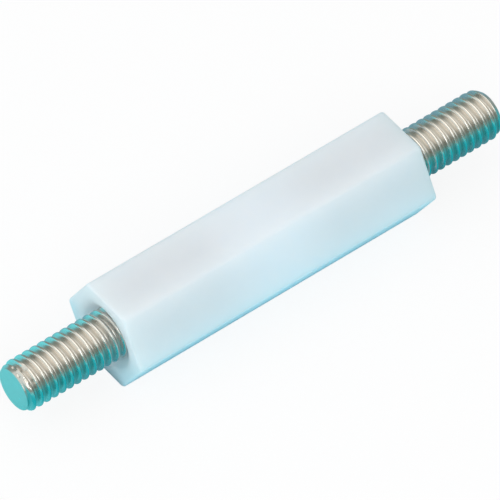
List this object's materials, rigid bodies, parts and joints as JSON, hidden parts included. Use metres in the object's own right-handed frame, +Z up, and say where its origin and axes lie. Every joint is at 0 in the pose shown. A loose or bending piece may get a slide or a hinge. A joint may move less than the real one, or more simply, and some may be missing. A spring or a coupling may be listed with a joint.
{
  "type": "hex standoff",
  "caption": "Hexagonal nylon standoff with a threaded steel stud out of each end, for holding boards or panels apart and insulated.",
  "frame": {"origin": "centre of the flat that the bar lies on, halfway along its length", "axes": "+X along the axis from the left stud to the right stud, +Y across two of the hexagon's corners, +Z up, square to the flat"},
  "size_m": [0.032, 0.0064, 0.0055],
  "materials": {
    "nylon": "natural nylon, satin and slightly translucent",
    "plated_steel": "bright nickel plate over a rolled thread"
  },
  "bodies": {
    "root": {"hex_body": "nylon", "stud_left": "plated_steel", "stud_right": "plated_steel"}
  },
  "joints": []
}
